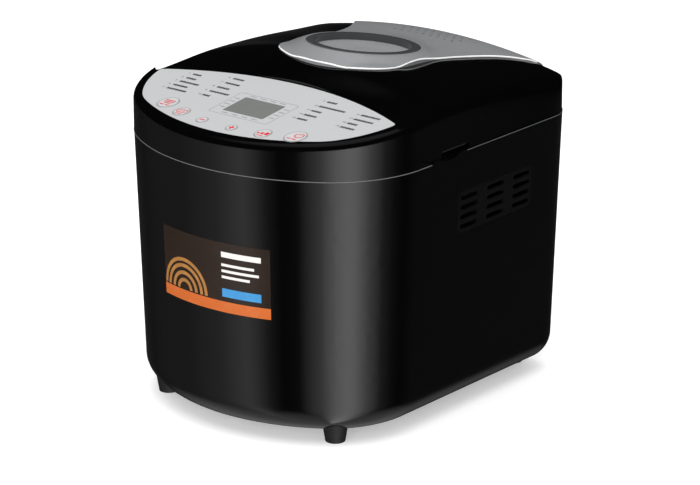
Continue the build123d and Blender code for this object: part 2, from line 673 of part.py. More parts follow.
pan = pan_block(0, PAN_FLOOR_Z, PAN_TOP_Z)
pan = fillet(pan.faces().sort_by(Axis.Z)[0].edges(), 6)
pan += oblong(PAN_X + PAN_RIM, PAN_Y + PAN_RIM, PAN_R + 6 + PAN_RIM, AXIS_Y, PAN_TOP_Z - 2, PAN_TOP_Z)
pan_inside = pan_block(PAN_T, PAN_FLOOR_Z, PAN_TOP_Z + 20)
pan_inside = fillet(pan_inside.faces().sort_by(Axis.Z)[0].edges(), 6)
ear = rod_x(AXIS_Y, HANDLE_Z, 5, PAN_X - 3, HANDLE_X - HANDLE_R - 0.3)
pan += both_sides(ear)
pan -= Pos(0, 0, PAN_T) * pan_inside
pin_in = PAN_X - 0.2
for x0, x1 in ((pin_in, PAN_X + 10), (-PAN_X - 10, -pin_in)):
    pan -= rod_x(AXIS_Y, HANDLE_Z, HANDLE_R + RUN_FIT, x0, x1)
pan -= rod(0, AXIS_Y, PAN_BUSH_R + SNUG, 0, PAN_FLOOR_Z + 10)
pan_ring = tube(0, AXIS_Y, PAN_RING_R, PAN_RING_R - 2, floor_top, PAN_FLOOR_Z)
pan_ring += tube(0, AXIS_Y, PAN_RING_R, PAN_RING_R - 8, PAN_FLOOR_Z - 1.5, PAN_FLOOR_Z)
bush_top = PAN_FLOOR_Z + PAN_T + 4
pan_bush = rod(0, AXIS_Y, PAN_BUSH_R, PAN_FLOOR_Z - 4, bush_top)
pan_bush += rod(0, AXIS_Y, PAN_BUSH_R + 4, PAN_FLOOR_Z - 4, PAN_FLOOR_Z)
pan_bush -= rod(0, AXIS_Y, SHAFT_R + RUN_FIT, 0, HIGH)
seal_top = bush_top + 2
seal = tube(0, AXIS_Y, 7.5, SHAFT_R + RUN_FIT, bush_top, seal_top)

# Pan handle: a wire bail that lies round the front of the pan
bail = FilletPolyline(
    (HANDLE_X, AXIS_Y, HANDLE_Z),
    (HANDLE_X, AXIS_Y - HANDLE_L, HANDLE_Z),
    (-HANDLE_X, AXIS_Y - HANDLE_L, HANDLE_Z),
    (-HANDLE_X, AXIS_Y, HANDLE_Z),
    radius=22,
)
handle = sweep(Plane(origin=bail @ 0, z_dir=bail % 0) * Circle(HANDLE_R), bail)
pin = rod_x(AXIS_Y, HANDLE_Z, HANDLE_R, pin_in + 0.2, HANDLE_X)
pin += Pos(HANDLE_X, AXIS_Y, HANDLE_Z) * Sphere(HANDLE_R)
handle += both_sides(pin)

# Kneading paddle on the pan's shaft, and the coupling bar below the pan
shaft_low = floor_top + 6
pan_shaft = rod(0, AXIS_Y, SHAFT_R, shaft_low, seal_top + 24)
coupling_bar = slab(-13, 13, AXIS_Y - 3, AXIS_Y + 3, shaft_low, shaft_low + 5)
coupling_bar += rod(0, AXIS_Y, 6.5, shaft_low, shaft_low + 6)
coupling_bar -= rod(0, AXIS_Y, SHAFT_R, 0, HIGH)
paddle_low = seal_top + 0.4
outline = [(0, 0), (44, 0), (40, 13), (8, 24), (0, 24)]
blade = Plane.XZ * Pos(0, paddle_low) * Polyline(*outline, close=True)
paddle = Pos(0, AXIS_Y + 1.7, 0) * extrude(make_face(blade.edges()), amount=3.4)
paddle += rod(0, AXIS_Y, 8, paddle_low, paddle_low + 26)
paddle -= rod(0, AXIS_Y, SHAFT_R + 0.02, 0, seal_top + 24.1)

# Drive: coupling, shaft and large pulley on the oven's axis
dog_low = floor_top + 1.5
dog = rod(0, AXIS_Y, 15, dog_low, dog_low + 3.5)
for side in (-1, 1):
    dog += slab(-5, 5, AXIS_Y + side * 10.5 - 2.5, AXIS_Y + side * 10.5 + 2.5, dog_low + 3, dog_low + 9)
dog -= rod(0, AXIS_Y, SHAFT_R, 0, HIGH)
drive_shaft = rod(0, AXIS_Y, SHAFT_R, PULLEY_Z - 1, dog_low + 3.5)
bearing = rod(0, AXIS_Y, BEARING_R, CHASSIS_Z + CHASSIS_T, floor_top)
bearing += rod(0, AXIS_Y, 22, OVEN_FLOOR_Z - 2, OVEN_FLOOR_Z)
bearing += rod(0, AXIS_Y, 18, CHASSIS_Z + CHASSIS_T, CHASSIS_Z + CHASSIS_T + 2.5)
bearing -= rod(0, AXIS_Y, SHAFT_R + RUN_FIT, 0, HIGH)


def pulley(y, radius, bore):
    """A flat pulley with two low flanges."""
    wheel = rod(0, y, radius + 2, PULLEY_Z, PULLEY_Z + PULLEY_T)
    wheel -= tube(0, y, radius + 5, radius, PULLEY_Z + 1.5, PULLEY_Z + PULLEY_T - 1.5)
    return wheel - rod(0, y, bore, 0, HIGH)


def belt_block(grow):
    """A solid block with the outline of a belt round both pulleys."""
    big, small = PULLEY_R + grow, SMALL_PULLEY_R + grow
    lean = math.asin((big - small) / (AXIS_Y - MOTOR_Y))
    dx, dy = math.cos(lean), -math.sin(lean)
    low = PULLEY_Z + (PULLEY_T - BELT_W) / 2
    flat = Polygon(
        (-small * dx, MOTOR_Y + small * dy),
        (small * dx, MOTOR_Y + small * dy),
        (big * dx, AXIS_Y + big * dy),
        (-big * dx, AXIS_Y + big * dy),
        align=None,
    )
    block = extrude(Pos(0, 0, low) * flat, amount=BELT_W)
    block += rod(0, AXIS_Y, big, low, low + BELT_W)
    return block + rod(0, MOTOR_Y, small, low, low + BELT_W)


big_pulley = pulley(AXIS_Y, PULLEY_R, SHAFT_R)
for angle in range(0, 360, 60):
    spot = Pos(0, AXIS_Y, 0) * Rot(0, 0, angle) * Pos(26, 0, PULLEY_Z + PULLEY_T / 2)
    big_pulley -= spot * Cylinder(8, PULLEY_T + 2)
small_pulley = pulley(MOTOR_Y, SMALL_PULLEY_R, 3.0)
belt = belt_block(BELT_FIT + BELT_T) - belt_block(BELT_FIT)
motor_base = CHASSIS_Z + CHASSIS_T + MOUNT_H
motor = rod(0, MOTOR_Y, MOTOR_R, motor_base, motor_base + MOTOR_H)
motor += rod(0, MOTOR_Y, 12, motor_base + MOTOR_H - 1, motor_base + MOTOR_H + 6)
motor += slab(-42, 42, MOTOR_Y - 30, MOTOR_Y + 30, motor_base, motor_base + 2)
motor += oblong(40, 40, 6, MOTOR_Y, motor_base + 16, motor_base + 40)
motor -= rod(0, MOTOR_Y, 3.0 + RUN_FIT, 0, motor_base + 20)
motor_shaft = rod(0, MOTOR_Y, 3.0, PULLEY_Z - 1, motor_base + 18)
mounts = [rod(x, MOTOR_Y + y, 6, CHASSIS_Z + CHASSIS_T, motor_base) for x in (-35, 35) for y in (-23, 23)]
chassis = slab(-100, 56, -118, 98, CHASSIS_Z, CHASSIS_Z + CHASSIS_T) & column(14, 0, HIGH)
chassis -= rod(0, AXIS_Y, 9, 0, HIGH) + rod(0, MOTOR_Y, 12, 0, HIGH)

# Power board beside the motor, on spacers
board_z = CHASSIS_Z + CHASSIS_T + 6
power_board = slab(-98, -48, -92, -32, board_z, board_z + BOARD_T)
spacers = [rod(x, y, 3, CHASSIS_Z + CHASSIS_T, board_z) for x in (-94, -52) for y in (-88, -36)]
board_top = board_z + BOARD_T
board_parts = [
    slab(-92, -62, -84, -52, board_top, board_top + 28),
    slab(-94, -74, -48, -36, board_top, board_top + 15),
    rod(-60, -42, 5, board_top, board_top + 18),
]

# Cord bush in the rear wall
rear_wall = REAR_Y - (LID_LINE_Z - CORD_Z) * math.tan(math.radians(DRAFT))
cord_bush = rod_y(CORD_X, CORD_Z, CORD_R, rear_wall - 14, rear_wall + 1.2)
cord_bush += rod_y(CORD_X, CORD_Z, CORD_R + 3, rear_wall - WALL - 3.4, rear_wall - WALL - 0.4)
cord_bush -= rod_y(CORD_X, CORD_Z, CORD_HOLE_R, REAR_Y - 40, REAR_Y + 10)

SINGLES = {
    "lower_body": body,
    "base_plate": base,
    "top_deck": deck,
    "right_vent": vent,
    "left_vent": mirror(vent, about=Plane.YZ),
    "control_housing": housing,
    "panel_plate": panel_plate,
    "display_window": display_window,
    "display_module": display_module,
    "control_board": control_board,
    "oven_liner": oven,
    "heating_element": heater,
    "temperature_probe": probe,
    "thermal_fuse": fuse,
    "pan_seat": pan_seat,
    "drive_bearing": bearing,
    "chassis_plate": chassis,
    "motor": motor,
    "drive_belt": belt,
    "power_board": power_board,
    "cord_bush": cord_bush,
    "lid_shell": lid,
    "lid_trim": trim,
    "window_ring": ring,
    "window_glass": glass,
    "lid_liner": liner,
    "inner_glass": inner_glass,
    "bread_pan": pan,
    "pan_ring": pan_ring,
    "pan_bush": pan_bush,
    "shaft_seal": seal,
    "pan_handle": handle,
    "pan_shaft": pan_shaft,
    "pan_coupling": coupling_bar,
    "kneading_paddle": paddle,
    "drive_shaft": drive_shaft,
    "drive_coupling": dog,
    "drive_pulley": big_pulley,
    "motor_shaft": motor_shaft,
    "motor_pulley": small_pulley,
}
GROUPS = {
    "feet": feet,
    "base_screws": screws,
    "button_switches": switches,
    "heater_bushes": bushes,
    "heater_clips": clips,
    "motor_mounts": mounts,
    "board_spacers": spacers,
    "board_parts": board_parts,
    "hinge_brackets": brackets,
    "hinge_pins": pins,
    "lid_screws": lid_screws,
}
for name, shape in {**SINGLES, **buttons}.items():
    write(name, [shape])
for name, shapes in GROUPS.items():
    write(name, shapes)
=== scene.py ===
# %% [markdown]
# # A countertop bread machine
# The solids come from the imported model: gloss black casing, silver panel and trim, a round window in the
# lid, and behind them the oven, pan, paddle and belt drive. This script gives every solid its finish, adds
# the printed and stuck-on detail that solids don't carry, and sets up a plain studio.

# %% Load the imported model
import json
import math
import bpy
import numpy as np
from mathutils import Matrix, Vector
from mathutils.bvhtree import BVHTree


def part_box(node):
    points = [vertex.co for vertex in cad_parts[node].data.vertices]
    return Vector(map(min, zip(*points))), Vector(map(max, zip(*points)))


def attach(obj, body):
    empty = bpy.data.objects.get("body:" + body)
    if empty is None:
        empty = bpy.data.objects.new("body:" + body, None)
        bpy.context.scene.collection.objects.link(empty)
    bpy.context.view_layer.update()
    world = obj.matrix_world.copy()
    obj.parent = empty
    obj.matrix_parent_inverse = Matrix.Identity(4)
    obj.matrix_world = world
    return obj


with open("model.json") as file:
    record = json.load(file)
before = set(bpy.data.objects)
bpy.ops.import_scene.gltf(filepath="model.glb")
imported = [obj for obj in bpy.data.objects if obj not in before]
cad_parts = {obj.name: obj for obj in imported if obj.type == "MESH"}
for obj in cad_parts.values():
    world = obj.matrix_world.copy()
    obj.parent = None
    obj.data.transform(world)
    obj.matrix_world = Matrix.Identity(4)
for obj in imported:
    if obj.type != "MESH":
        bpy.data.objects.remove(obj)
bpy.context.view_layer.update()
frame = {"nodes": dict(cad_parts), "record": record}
scene = bpy.context.scene
MM = 0.001

# %% [markdown]
# ## Camera
# The photograph looks from the front right and a little above with a long lens, so upright edges stay almost
# parallel. The camera aims at one point of the machine and backs away along the viewing direction.

# %% Camera
VIEW_AZIMUTH, VIEW_ELEVATION = math.radians(39.3), math.radians(18.8)
AIM = Vector((0.1181, -0.1195, 0.1762))
DISTANCE = 2.9108
LENS_MM, SENSOR_MM = 195.4, 36.0
towards_camera = Vector((
    math.sin(VIEW_AZIMUTH) * math.cos(VIEW_ELEVATION),
    -math.cos(VIEW_AZIMUTH) * math.cos(VIEW_ELEVATION),
    math.sin(VIEW_ELEVATION),
))
camera_data = bpy.data.cameras.new("camera")
camera_data.lens = LENS_MM
camera_data.sensor_width = SENSOR_MM
camera_data.sensor_fit = "HORIZONTAL"
camera = bpy.data.objects.new("camera", camera_data)
camera.location = AIM + towards_camera * DISTANCE
camera.rotation_euler = towards_camera.to_track_quat("Z", "Y").to_euler()
scene.collection.objects.link(camera)
scene.camera = camera
print("camera at", [round(v, 3) for v in camera.location])

# %% [markdown]
# ## Nodes
# Every material below is built from nodes. One small function adds a node, sets what is given as a value and
# links what is given as another node's output. One more turns an sRGB hex colour into linear light.


# %% Node helpers
def add(tree, kind, inputs=None, **settings):
    """Adds one node; an input that is a socket is linked, any other is set as a value."""
    node = tree.nodes.new(kind)
    for key, value in settings.items():
        setattr(node, key, value)
    for key, value in (inputs or {}).items():
        if isinstance(value, bpy.types.NodeSocket):
            tree.links.new(value, node.inputs[key])
        else:
            node.inputs[key].default_value = value
    return node


def linear(hex_colour):
    """sRGB to linear: c / 12.92 near black, else ((c + 0.055) / 1.055) to the power 2.4; alpha is 1."""
    c = np.array([int(hex_colour[i : i + 2], 16) for i in (0, 2, 4)]) / 255
    c = np.where(c <= 0.04045, c / 12.92, ((c + 0.055) / 1.055) ** 2.4)
    return (*c.tolist(), 1.0)


# %% [markdown]
# ## Studio light
# The photograph is a white studio: a white background, light from all round and above, and a few soft boxes
# that show only as reflections in the gloss casing. A gloss black wall shows little but what it mirrors, so
# the boxes are written into the world as a ramp of light round the compass, below the skyline and seen by
# mirror rays alone. Above the skyline the mirrored room is dark, which keeps the lid black, apart from one
# soft patch straight overhead. Another patch straight below stands in for the floor.

# %% World
scene.view_settings.view_transform = "Standard"
world = bpy.data.worlds.new("studio")
world.use_nodes = True
wt = world.node_tree
wt.nodes.clear()
BOX_LIGHT, ROOM_LIGHT, AMBIENT = 2.6, 0.004, 0.72
# Light at compass directions in degrees, 0 to the front and 90 to the right, as a share of BOX_LIGHT.
BOXES = {
    -180: 0.01, -100: 0.01, -58: 0.05, -34: 0.12, -16: 0.27, -10: 0.20, -2: 0.06, 6: 0.004, 16: 0.015,
    31: 0.36, 45: 0.77, 56: 0.94, 64: 0.88, 80: 0.36, 95: 0.08, 108: 0.02, 119: 0.003, 136: 0.012, 180: 0.012,
}
# The heights, as the Z of a ray one long, over which the boxes and the two patches come and go.
SKYLINE = {"From Min": -0.16, "From Max": 0.04, "To Min": BOX_LIGHT, "To Max": 0.0}
UNDERFOOT = {"From Min": -0.5, "From Max": -0.9, "To Max": 0.5}
OVERHEAD = {"From Min": 0.75, "From Max": 0.97, "To Max": 0.3}
ray = add(wt, "ShaderNodeLightPath")
way = add(wt, "ShaderNodeTexCoord")
axis = add(wt, "ShaderNodeSeparateXYZ", {0: way.outputs["Generated"]})
front = add(wt, "ShaderNodeMath", {0: axis.outputs["Y"], 1: -1.0}, operation="MULTIPLY").outputs[0]
compass = add(wt, "ShaderNodeMath", {0: axis.outputs["X"], 1: front}, operation="ARCTAN2").outputs[0]
full_turn = {"Value": compass, "From Min": -math.pi, "From Max": math.pi}
ramp = add(wt, "ShaderNodeValToRGB", {0: add(wt, "ShaderNodeMapRange", full_turn).outputs[0]})
stops = ramp.color_ramp.elements
for place, (degrees, share) in enumerate(BOXES.items()):
    stop = stops[place] if place < len(stops) else stops.new(1.0)
    stop.position = (degrees + 180) / 360
    stop.color = (share, share, share, 1)
ray_height = axis.outputs["Z"]
box_level, below, above = (
    add(wt, "ShaderNodeMapRange", {"Value": ray_height, **span}, interpolation_type="SMOOTHSTEP").outputs[0]
    for span in (SKYLINE, UNDERFOOT, OVERHEAD)
)
boxes = add(wt, "ShaderNodeMath", {0: ramp.outputs[0], 1: box_level}, operation="MULTIPLY").outputs[0]
ends = add(wt, "ShaderNodeMath", {0: above, 1: below}, operation="MAXIMUM").outputs[0]
brightest = add(wt, "ShaderNodeMath", {0: boxes, 1: ends}, operation="MAXIMUM").outputs[0]
mirror_light = add(wt, "ShaderNodeMath", {0: brightest, 1: ROOM_LIGHT}, operation="ADD").outputs[0]
seen = add(wt, "ShaderNodeMix", {0: ray.outputs["Is Glossy Ray"], 2: AMBIENT, 3: mirror_light}).outputs[0]
seen = add(wt, "ShaderNodeMix", {0: ray.outputs["Is Camera Ray"], 2: seen, 3: 1.0}).outputs[0]
glow = add(wt, "ShaderNodeBackground", {"Color": (1, 1, 1, 1), "Strength": seen})
add(wt, "ShaderNodeOutputWorld", {"Surface": glow.outputs[0]})
scene.world = world
print("stops of light round the compass:", len(stops))

# %% [markdown]
# ## Floor
# The machine stands on white paper that runs into the background. The paper glows a little, so that it comes
# out as white as the background does. It is left out of mirror rays, because the world already holds all that
# the casing mirrors.

# %% Floor
FLOOR, PAPER_GLOW = 8.0, 0.38
floor_mesh = bpy.data.meshes.new("floor")
floor_mesh.from_pydata(
    [(-FLOOR, -FLOOR, 0), (FLOOR, -FLOOR, 0), (FLOOR, FLOOR, 0), (-FLOOR, FLOOR, 0)], [], [(0, 1, 2, 3)]
)
floor = bpy.data.objects.new("floor", floor_mesh)
scene.collection.objects.link(floor)
paper = bpy.data.materials.new("white_paper")
paper.use_nodes = True
sheet = paper.node_tree.nodes["Principled BSDF"].inputs
sheet["Base Color"].default_value = linear("E6E6E6")
sheet["Roughness"].default_value = 0.9
sheet["Specular IOR Level"].default_value = 0.0
sheet["Emission Color"].default_value = linear("FFFFFF")
sheet["Emission Strength"].default_value = PAPER_GLOW
floor_mesh.materials.append(paper)
floor.visible_glossy = False
print("floor:", 2 * FLOOR, "m across")

# %% [markdown]
# ## Lamps
# A wide lamp overhead gives the soft shadow under the machine, and a smaller one at the front right lifts the
# panel, the print and the sticker. Neither shows in reflections, which belong to the world alone.

# %% Lamps
# Each lamp's side in metres, its watts, its place, and the place that it looks at.
LAMPS = {
    "overhead": (2.6, 46.0, (0.1, -0.3, 2.3), (0.1, -0.3, 0.0)),
    "front_fill": (1.2, 14.0, (0.9, -1.7, 0.6), AIM),
}
for name, (side, watts, place, target) in LAMPS.items():
    lamp_data = bpy.data.lights.new(name, "AREA")
    lamp_data.size = side
    lamp_data.energy = watts
    lamp = bpy.data.objects.new(name, lamp_data)
    lamp.location = place
    lamp.rotation_euler = (lamp.location - Vector(target)).to_track_quat("Z", "Y").to_euler()
    lamp.visible_camera = lamp.visible_glossy = False
    scene.collection.objects.link(lamp)
print("lamps:", len(LAMPS))

# %% [markdown]
# ## Finishes
# Nearly every piece is moulded, painted, rolled, cast or drawn, and all of these show the same few things to
# the eye: a base colour that drifts a little, a roughness that drifts with it, and a fine relief left by the
# tool. One function builds that from a noise whose grain is given in millimetres. Each call below names the
# real material and what its making leaves on the surface.

# %% Finish builder
GRAIN_DETAIL = 3.0
# The noise seldom leaves this span, so the roughness is spread over it.
GRAIN_LOW, GRAIN_HIGH = 0.3, 0.7


def finish(name, colour, drift, rough, grain_mm, relief_mm=0.0, stretch=(1, 1, 1), **shader):
    """Principled surface: colour moves to drift, and roughness over its pair, along a noise of grain_mm."""
    mat = bpy.data.materials.new(name)
    mat.use_nodes = True
    tree = mat.node_tree
    tree.nodes.clear()
    place = add(tree, "ShaderNodeTexCoord").outputs["Object"]
    place = add(tree, "ShaderNodeMapping", {"Vector": place, "Scale": stretch}).outputs[0]
    noise = {"Vector": place, "Scale": 1 / (grain_mm * MM), "Detail": GRAIN_DETAIL}
    grain = add(tree, "ShaderNodeTexNoise", noise).outputs[0]
    tint = add(tree, "ShaderNodeMix", {0: grain, 6: linear(colour), 7: linear(drift)}, data_type="RGBA")
    rough_low, rough_high = rough
    spread = {"From Min": GRAIN_LOW, "From Max": GRAIN_HIGH, "To Min": rough_low, "To Max": rough_high}
    sheen = add(tree, "ShaderNodeMapRange", {"Value": grain, **spread})
    sockets = {"Base Color": tint.outputs[2], "Roughness": sheen.outputs[0]}
    if relief_mm:
        bump = add(tree, "ShaderNodeBump", {"Height": grain, "Distance": relief_mm * MM, "Strength": 1.0})
        sockets["Normal"] = bump.outputs[0]
    sockets.update({key.replace("_", " "): value for key, value in shader.items()})
    body = add(tree, "ShaderNodeBsdfPrincipled", sockets)
    add(tree, "ShaderNodeOutputMaterial", {"Surface": body.outputs[0]})
    return mat


# %% Casing plastics
# ABS from a polished mould: deep black, even, and almost as glossy as glass.
gloss_abs = finish("gloss_black_ABS", "020202", "030304", (0.089, 0.091), 60, IOR=1.5)
# ABS from a lightly etched mould: the same black with a finer, duller skin.
satin_abs = finish("satin_black_ABS", "060607", "0A0A0B", (0.22, 0.28), 1.2, 0.01, IOR=1.5)
# ABS sprayed with silver lacquer: pale, with the sparkle of fine aluminium flake.
silver_lacquer = finish(
    "silver_lacquer_on_ABS", "BABBBC", "C2C3C4", (0.36, 0.44), 0.5, 0.002, IOR=1.5, Metallic=0.15
)
# The same lacquer in a darker shade on the lid, and in a paler one on the buttons.
grey_lacquer = finish(
    "grey_lacquer_on_ABS", "929496", "9EA0A2", (0.26, 0.34), 0.6, 0.002, IOR=1.5, Metallic=0.35
)
button_lacquer = finish(
    "silver_lacquer_on_buttons", "C4C5C6", "CBCCCD", (0.30, 0.38), 0.5, 0.002, IOR=1.5, Metallic=0.15
)
# Smoke-tinted ABS of the window ring: dark grey and glossy.
smoke_abs = finish("smoke_grey_ABS", "3C3D3F", "434446", (0.14, 0.20), 25, 0.006, IOR=1.5)
# Tinted float glass with a polished face. Its pale grey body colour is partly tint and partly painted
# reflection, standing in for the bright room that the glass mirrors.
window_pane = finish("tinted_glass_and_painted_reflection", "A2A4A5", "B0B2B3", (0.03, 0.06), 30, IOR=1.5, Transmission_Weight=0.25)
# Display cell under clear plastic: the grey of unlit liquid crystal.
display_face = finish("liquid_crystal_display", "6A6C6A", "767876", (0.16, 0.22), 18, IOR=1.5)
display_body = finish("display_cell_ABS", "5A5E5A", "666A64", (0.4, 0.5), 2, 0.01, IOR=1.5)
print("finishes on the outside:", len(bpy.data.materials))

# %% [markdown]
# ## Inner plastics and rubbers
# Plastics that nobody looks at come from etched moulds, which hide flow marks, so they are duller than the
# casing and have a fine grain. Rubber is duller still.

# %% Inner plastics and rubbers
# Moulded chloroprene: soft black with a chalky bloom.
foot_rubber = finish("black_rubber", "0C0C0C", "151515", (0.55, 0.7), 1.5, 0.02, IOR=1.5)
grey_rubber = finish("grey_rubber", "3A3A3A", "474747", (0.6, 0.75), 1.5, 0.02, IOR=1.5)
belt_rubber = finish("ribbed_belt_rubber", "161616", "222222", (0.5, 0.65), 1.0, 0.05, (1, 1, 6), IOR=1.5)
# Polypropylene from an etched mould: dull dark grey.
base_plastic = finish("black_polypropylene", "121213", "1A1A1B", (0.45, 0.58), 0.8, 0.02, IOR=1.49)
deck_plastic = finish("heatproof_PBT", "141415", "1C1C1D", (0.40, 0.52), 0.8, 0.02, IOR=1.5)
# Nylon is milky and waxy.
pulley_nylon = finish("natural_nylon", "D2CDBD", "DDD9CB", (0.35, 0.48), 3, 0.01, IOR=1.53)
# Steatite ceramic: chalk white, fired dull.
ceramic = finish("steatite_ceramic", "DAD5CA", "E6E2D9", (0.6, 0.75), 1.0, 0.02, IOR=1.6)
# Glass-fibre board under green lacquer.
circuit_board = finish("lacquered_fibreglass", "1E3A18", "2A4B20", (0.25, 0.4), 0.8, 0.02, IOR=1.5)
board_plastic = finish("component_resin", "1A1A1C", "262629", (0.35, 0.5), 1.0, 0.02, IOR=1.5)
print("finishes with the inner plastics:", len(bpy.data.materials))

# %% [markdown]
# ## Metals and coats
# A bare metal is all reflection, so its metallic value is 1 and its colour is that of the mirrored light.
# Where rolls or a drawing die left lines, the noise is stretched along them.

# %% Metals
# Rolled aluminium sheet: long fine lines from the rolls.
oven_sheet = finish(
    "rolled_aluminium", "B9B9B6", "C8C8C5", (0.28, 0.42), 0.6, 0.004, (1, 1, 0.04), Metallic=1.0
)
lid_sheet = finish(
    "rolled_aluminium_lid", "B9B9B8", "C9C9C7", (0.26, 0.4), 0.6, 0.004, (0.04, 1, 1), Metallic=1.0
)
# Zinc-plated steel: a pale spangle.
zinc_steel = finish("zinc_plated_steel", "A9AAA8", "BEBFBC", (0.3, 0.45), 5, 0.004, Metallic=1.0)
# Drawn and ground steel: bright, with lines along its length.
bright_steel = finish(
    "ground_steel", "B5B5B4", "C5C5C4", (0.16, 0.28), 0.4, 0.002, (1, 0.05, 0.05), Metallic=1.0
)
# Heater sheath blued by its first heating.
heater_sheath = finish("oxidised_steel", "4A4543", "5A5552", (0.4, 0.55), 4, 0.006, Metallic=1.0)
# Non-stick coat over pressed aluminium: near black, with the fine spatter of the spray.
non_stick = finish("non_stick_coat", "1E1E20", "2A2A2C", (0.36, 0.5), 0.5, 0.012, IOR=1.38)
# Die-cast aluminium: grey and slightly grainy.
die_cast = finish("die_cast_aluminium", "9A9A99", "ACACAA", (0.38, 0.5), 0.8, 0.02, Metallic=1.0)
# Sintered bronze: brown-gold and porous.
bronze = finish("sintered_bronze", "8E6A34", "A27B40", (0.35, 0.5), 0.5, 0.02, Metallic=1.0)
# Motor shell: pressed steel under dull grey paint.
motor_steel = finish("painted_motor_steel", "33353A", "3E4046", (0.35, 0.48), 1.5, 0.02, IOR=1.5)
print("finishes with the metals:", len(bpy.data.materials))

# %% [markdown]
# ## Dressing the solids
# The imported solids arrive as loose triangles. A small geometry-node modifier joins their corners and shades
# them smooth except across real edges, so the curved casing mirrors the studio without facets. A second
# modifier weighs the faces round each corner by the angle that they take there, because otherwise long thin
# triangles would leave spots in the reflections. The solid's own mesh stays as it came.

# %% Smooth shading
EDGE_ANGLE, JOIN_MM = math.radians(28), 0.004
shading = bpy.data.node_groups.new("smooth_by_angle", "GeometryNodeTree")
for end in ("INPUT", "OUTPUT"):
    shading.interface.new_socket("Geometry", in_out=end, socket_type="NodeSocketGeometry")
solid_in = add(shading, "NodeGroupInput").outputs[0]
joined = add(shading, "GeometryNodeMergeByDistance", {"Geometry": solid_in, "Distance": JOIN_MM * MM})
rounded = add(shading, "GeometryNodeSetShadeSmooth", {"Geometry": joined.outputs[0]}, domain="FACE")
angle = add(shading, "GeometryNodeInputMeshEdgeAngle")
gentle = add(
    shading, "FunctionNodeCompare", {0: angle.outputs["Unsigned Angle"], 1: EDGE_ANGLE},
    data_type="FLOAT", operation="LESS_THAN",
)
creased = add(
    shading, "GeometryNodeSetShadeSmooth",
    {"Geometry": rounded.outputs[0], "Shade Smooth": gentle.outputs[0]}, domain="EDGE",
)
add(shading, "NodeGroupOutput", {0: creased.outputs[0]})

# %% Materials on the solids
SLOT_FINISH = {
    "gloss_black_abs": gloss_abs, "vent_abs": satin_abs, "silver_panel": silver_lacquer,
    "silver_trim": grey_lacquer, "button_silver": button_lacquer, "smoke_ring": smoke_abs,
    "window_glass": window_pane, "display_lens": display_face, "display_cell": display_body,
    "foot_rubber": foot_rubber, "grey_rubber": grey_rubber, "belt_rubber": belt_rubber,
    "base_plastic": base_plastic, "deck_plastic": deck_plastic, "oven_sheet": oven_sheet,
    "zinc_steel": zinc_steel, "bright_steel": bright_steel, "heater_sheath": heater_sheath,
    "ceramic": ceramic, "non_stick": non_stick, "die_cast": die_cast, "bearing_bronze": bronze,
    "pulley_nylon": pulley_nylon, "motor_steel": motor_steel, "circuit_board": circuit_board,
    "board_plastic": board_plastic, "lid_sheet": lid_sheet,
}
slot_of = {part["node"]: part["material_slot"] for part in frame["record"]["subparts"]}
for node, solid in frame["nodes"].items():
    for slot in solid.material_slots:
        slot.material = SLOT_FINISH[slot_of[node]]
    smooth = solid.modifiers.new("smooth_by_angle", "NODES")
    smooth.node_group = shading
    weigh = solid.modifiers.new("even_normals", "WEIGHTED_NORMAL")
    weigh.keep_sharp = True
    weigh.mode = "CORNER_ANGLE"
print("finishes on", len(slot_of), "solids")

# %% [markdown]
# ## Thin pieces
# Print, labels and stickers are films a few hundredths of a millimetre thick. Each is drawn flat as a grid of
# points in millimetres and then carried on to the surface that it sits on by one formula, so a film follows a
# bowed wall as paper does. Solidify gives it its thickness.

# %% Film helpers
FILM_MM = 0.03


def grid_faces(rows, columns, wrap=False):
    """Quads of a grid of points stored row by row; wrap joins the last column to the first."""
    r, c = np.meshgrid(np.arange(rows - 1), np.arange(columns if wrap else columns - 1), indexing="ij")
    n = (c + 1) % columns
    here, above_here = r * columns, (r + 1) * columns
    return np.stack([here + c, here + n, above_here + n, above_here + c], -1).reshape(-1, 4)


def film(name, points, faces, material, body, slot, thick_mm=FILM_MM):
    """A thin piece from points in metres, thickened towards what it sits on, riding on a body."""
    mesh = bpy.data.meshes.new(name)
    mesh.from_pydata(points.tolist(), [], [list(f) for f in faces])
    mesh.validate()
    mesh.update()
    mesh.materials.append(material)
    obj = bpy.data.objects.new(name, mesh)
    scene.collection.objects.link(obj)
    if thick_mm:
        wall = obj.modifiers.new("thickness", "SOLIDIFY")
        wall.thickness = thick_mm * MM
        wall.offset = -1.0
    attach(obj, body)
    return obj


def gather(parts):
    """Joins (points, faces) pairs into one pair, counting the points on."""
    starts = np.cumsum([0] + [len(p) for p, _ in parts[:-1]])
    faces = [[int(i + start) for i in f] for (_, fs), start in zip(parts, starts) for f in fs]
    return np.concatenate([p for p, _ in parts]), faces


# %% [markdown]
# ## Flat shapes
# All print below is made of a few flat shapes: closed strips, ovals, rounded boxes, bars and arcs. Each
# function returns whole arrays of points in millimetres, with the faces where the shape has a surface of its
# own. Flat shapes are quick to lay out, and the formula that carries them to the machine comes after.


# %% Strips, outlines and bars
def band(outline, width):
    """A closed strip of the given width just inside an outline of (x, y) points that runs anticlockwise."""
    ahead = np.roll(outline, -1, 0) - np.roll(outline, 1, 0)
    ahead /= np.linalg.norm(ahead, axis=1, keepdims=True)
    inward = np.stack([-ahead[:, 1], ahead[:, 0]], 1)
    return np.concatenate([outline, outline + width * inward]), grid_faces(2, len(outline), True)


def oval(x, y, rx, ry, count=64):
    """Outline of an ellipse: the middle plus (rx cos a, ry sin a) for a round the circle."""
    turn = np.linspace(0, 2 * np.pi, count, endpoint=False)
    return np.stack([x + rx * np.cos(turn), y + ry * np.sin(turn)], 1)


